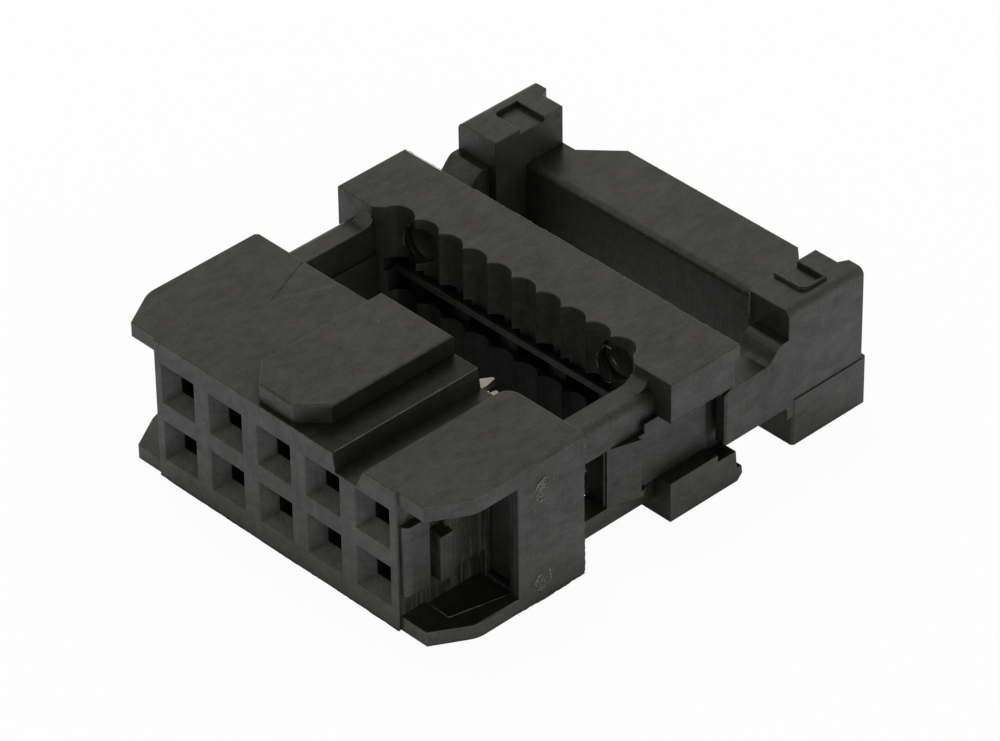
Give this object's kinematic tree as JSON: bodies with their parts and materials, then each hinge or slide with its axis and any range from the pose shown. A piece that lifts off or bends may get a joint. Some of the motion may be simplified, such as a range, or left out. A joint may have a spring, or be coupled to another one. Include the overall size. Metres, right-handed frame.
{
  "type": "idc socket connector",
  "caption": "Polarised two-row ribbon-cable socket with insulation-displacement fork contacts, a snap-fit cable cover and a strain relief, open as delivered before a cable is pressed in.",
  "frame": {"origin": "centre of the mating face, midway between the two rows of pin holes", "axes": "+X along the rows, away from the first pin; +Y from the mating face towards the cable; +Z towards the polarising key"},
  "size_m": [0.0174, 0.022, 0.0068],
  "materials": {
    "housing_plastic": "fine-grained glass-filled plastic, semi-gloss",
    "cover_plastic": "fine-grained glass-filled plastic, semi-gloss",
    "relief_plastic": "fine-grained glass-filled plastic, semi-gloss",
    "tinned_metal": "tin plated over copper alloy, satin"
  },
  "bodies": {
    "root": {"socket_housing": "housing_plastic", "cable_cover": "cover_plastic", "strain_relief": "relief_plastic", "contact_01": "tinned_metal", "contact_02": "tinned_metal", "contact_03": "tinned_metal", "contact_04": "tinned_metal", "contact_05": "tinned_metal", "contact_06": "tinned_metal", "contact_07": "tinned_metal", "contact_08": "tinned_metal", "contact_09": "tinned_metal", "contact_10": "tinned_metal"}
  },
  "joints": []
}
